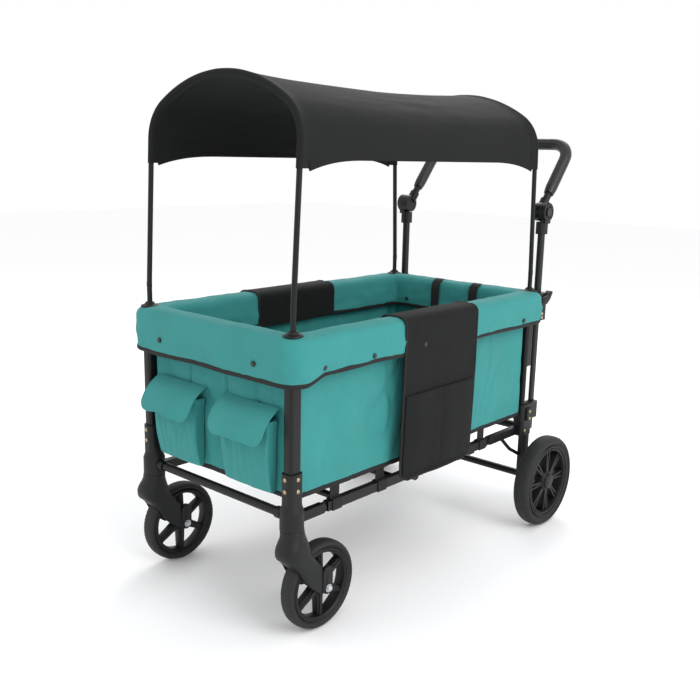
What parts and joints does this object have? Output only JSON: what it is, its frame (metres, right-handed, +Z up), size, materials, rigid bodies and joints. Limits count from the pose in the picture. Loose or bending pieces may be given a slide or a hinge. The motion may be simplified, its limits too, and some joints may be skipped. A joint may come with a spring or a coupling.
{
  "type": "folding push wagon",
  "caption": "Folding push wagon for children: fabric tub on a steel frame, canopy on two hoops, swivelling front wheels and a tilting push handle.",
  "frame": {"origin": "on the floor, under the middle of the whole object's box", "axes": "+Z up, +X to the rear where the push handle is, +Y to the right of the person who pushes"},
  "size_m": [1.1816, 0.67, 1.1869],
  "materials": {
    "frame_black": "satin black powder coat",
    "black_plastic": "fine-grained black nylon",
    "teal_fabric": "woven polyester, teal",
    "canopy_fabric": "charcoal-black plain weave with a slight sheen",
    "organiser_fabric": "black twill",
    "webbing": "black woven webbing",
    "floor_board": "black laminated board",
    "foam": "closed-cell foam",
    "grip_leather": "stitched black leatherette",
    "tyre_rubber": "matt black rubber",
    "rivet_brass": "dull brass plate",
    "button_grey": "dark grey plastic"
  },
  "bodies": {
    "rear_frame": {"rear_posts": "frame_black", "rear_legs": "black_plastic", "handle_guides": "black_plastic", "rear_castings": "black_plastic", "hinge_arms_rear": "frame_black", "cross_tubes_rear": "frame_black", "rear_axle": "frame_black", "leg_braces": "frame_black", "rear_panel": "teal_fabric", "rim_cover_rear": "teal_fabric", "rear_straps": "webbing", "rivets_rear": "rivet_brass", "side_panel_left": "teal_fabric", "side_panel_right": "teal_fabric", "rim_cover_left": "teal_fabric", "rim_cover_right": "teal_fabric", "organiser_left": "organiser_fabric", "organiser_right": "organiser_fabric", "floor_mat": "teal_fabric"},
    "brake_pedal": {"brake_pedal": "black_plastic"},
    "floor_rear": {"lower_rails_rear": "frame_black", "floor_board_rear": "floor_board", "webbing_loops_rear": "webbing"},
    "floor_front": {"lower_rails_front": "frame_black", "floor_board_front": "floor_board", "webbing_loops_front": "webbing"},
    "top_rear": {"top_rails_rear": "frame_black", "rail_foam_rear": "foam"},
    "top_front": {"top_rails_front": "frame_black", "rail_foam_front": "foam"},
    "front_frame": {"front_posts": "frame_black", "front_legs": "black_plastic", "front_castings": "black_plastic", "hinge_arms_front": "frame_black", "cross_tubes_front": "frame_black", "front_panel": "teal_fabric", "rim_cover_front": "teal_fabric", "front_pockets": "teal_fabric", "rivets_front": "rivet_brass"},
    "flap_left": {"flap_left": "teal_fabric"},
    "flap_right": {"flap_right": "teal_fabric"},
    "caster_left": {"caster_fork_left": "black_plastic"},
    "caster_right": {"caster_fork_right": "black_plastic"},
    "front_wheel_left": {"front_wheel_left": "black_plastic", "front_tyre_left": "tyre_rubber"},
    "front_wheel_right": {"front_wheel_right": "black_plastic", "front_tyre_right": "tyre_rubber"},
    "rear_wheel_left": {"rear_wheel_left": "black_plastic", "rear_tyre_left": "tyre_rubber"},
    "rear_wheel_right": {"rear_wheel_right": "black_plastic", "rear_tyre_right": "tyre_rubber"},
    "handle_lower": {"handle_uprights": "frame_black", "handle_knuckles": "black_plastic"},
    "handle_upper": {"handle_bar": "frame_black", "handle_grip": "grip_leather"},
    "handle_button_left": {"handle_button_left": "button_grey"},
    "handle_button_right": {"handle_button_right": "button_grey"},
    "canopy_rear": {"canopy_hoop_rear": "frame_black", "canopy_fabric": "canopy_fabric"},
    "canopy_front": {"canopy_hoop_front": "frame_black"}
  },
  "joints": [
    {"name": "fold", "type": "hinge", "parent": "rear_frame", "child": "floor_rear", "pos_m": [0.219, 0, 0.265], "axis": [0, 1, 0], "range_deg": [0, 80], "deforming": ["side_panel_left", "side_panel_right", "rim_cover_left", "rim_cover_right", "organiser_left", "organiser_right", "floor_mat", "canopy_fabric"]},
    {"name": "floor_mid", "type": "hinge", "parent": "floor_rear", "child": "floor_front", "pos_m": [-0.111, 0, 0.254], "axis": [0, 1, 0], "range_deg": [-160, 0]},
    {"name": "front_fold", "type": "hinge", "parent": "floor_front", "child": "front_frame", "pos_m": [-0.441, 0, 0.265], "axis": [0, 1, 0], "range_deg": [0, 80]},
    {"name": "top_rear_fold", "type": "hinge", "parent": "rear_frame", "child": "top_rear", "pos_m": [0.219, 0, 0.625], "axis": [0, 1, 0], "range_deg": [-80, 0]},
    {"name": "top_mid", "type": "hinge", "parent": "top_rear", "child": "top_front", "pos_m": [-0.111, 0, 0.636], "axis": [0, 1, 0], "range_deg": [0, 160]},
    {"name": "caster_swivel_left", "type": "hinge", "parent": "front_frame", "child": "caster_left", "pos_m": [-0.536, -0.2385, 0.27], "axis": [0, 0, 1], "continuous": true},
    {"name": "caster_swivel_right", "type": "hinge", "parent": "front_frame", "child": "caster_right", "pos_m": [-0.536, 0.2385, 0.27], "axis": [0, 0, 1], "continuous": true},
    {"name": "front_wheel_spin_left", "type": "hinge", "parent": "caster_left", "child": "front_wheel_left", "pos_m": [-0.461, -0.244, 0.1], "axis": [0, 1, 0], "continuous": true},
    {"name": "front_wheel_spin_right", "type": "hinge", "parent": "caster_right", "child": "front_wheel_right", "pos_m": [-0.461, 0.244, 0.1], "axis": [0, 1, 0], "continuous": true},
    {"name": "rear_wheel_spin_left", "type": "hinge", "parent": "rear_frame", "child": "rear_wheel_left", "pos_m": [0.391, -0.311, 0.1275], "axis": [0, 1, 0], "continuous": true},
    {"name": "rear_wheel_spin_right", "type": "hinge", "parent": "rear_frame", "child": "rear_wheel_right", "pos_m": [0.391, 0.311, 0.1275], "axis": [0, 1, 0], "continuous": true},
    {"name": "brake_pedal_turn", "type": "hinge", "parent": "rear_frame", "child": "brake_pedal", "pos_m": [0.391, 0, 0.1275], "axis": [0, 1, 0], "range_deg": [0, 25]},
    {"name": "handle_slide", "type": "slide", "parent": "rear_frame", "child": "handle_lower", "axis": [0, 0, 1], "range_m": [-0.14, 0]},
    {"name": "handle_tilt", "type": "hinge", "parent": "handle_lower", "child": "handle_upper", "pos_m": [0.423, 0, 0.875], "axis": [0, 1, 0], "range_deg": [-38, 70]},
    {"name": "tilt_button_left", "type": "slide", "parent": "handle_lower", "child": "handle_button_left", "axis": [0, 1, 0], "range_m": [0, 0.004], "stiffness_N_per_m": 300, "springref_m": -0.002},
    {"name": "tilt_button_right", "type": "slide", "parent": "handle_lower", "child": "handle_button_right", "axis": [0, -1, 0], "range_m": [0, 0.004], "stiffness_N_per_m": 300, "springref_m": -0.002},
    {"name": "flap_lift_left", "type": "hinge", "parent": "front_frame", "child": "flap_left", "pos_m": [-0.539, -0.118, 0.5], "axis": [0, 1, 0], "range_deg": [0, 80]},
    {"name": "flap_lift_right", "type": "hinge", "parent": "front_frame", "child": "flap_right", "pos_m": [-0.539, 0.118, 0.5], "axis": [0, 1, 0], "range_deg": [0, 80]},
    {"name": "canopy_lift", "type": "slide", "parent": "rear_frame", "child": "canopy_rear", "axis": [0, 0, 1], "range_m": [0, 0.1]},
    {"name": "canopy_lift_front", "type": "slide", "parent": "front_frame", "child": "canopy_front", "axis": [0, 0, 1], "range_m": [0, 0.1]}
  ],
  "couplings": [
    {"joint": "floor_mid", "follows": "fold", "ratio": -2},
    {"joint": "front_fold", "follows": "fold", "ratio": 1},
    {"joint": "top_rear_fold", "follows": "fold", "ratio": -1},
    {"joint": "top_mid", "follows": "fold", "ratio": 2},
    {"joint": "canopy_lift_front", "follows": "canopy_lift", "ratio": 1}
  ]
}
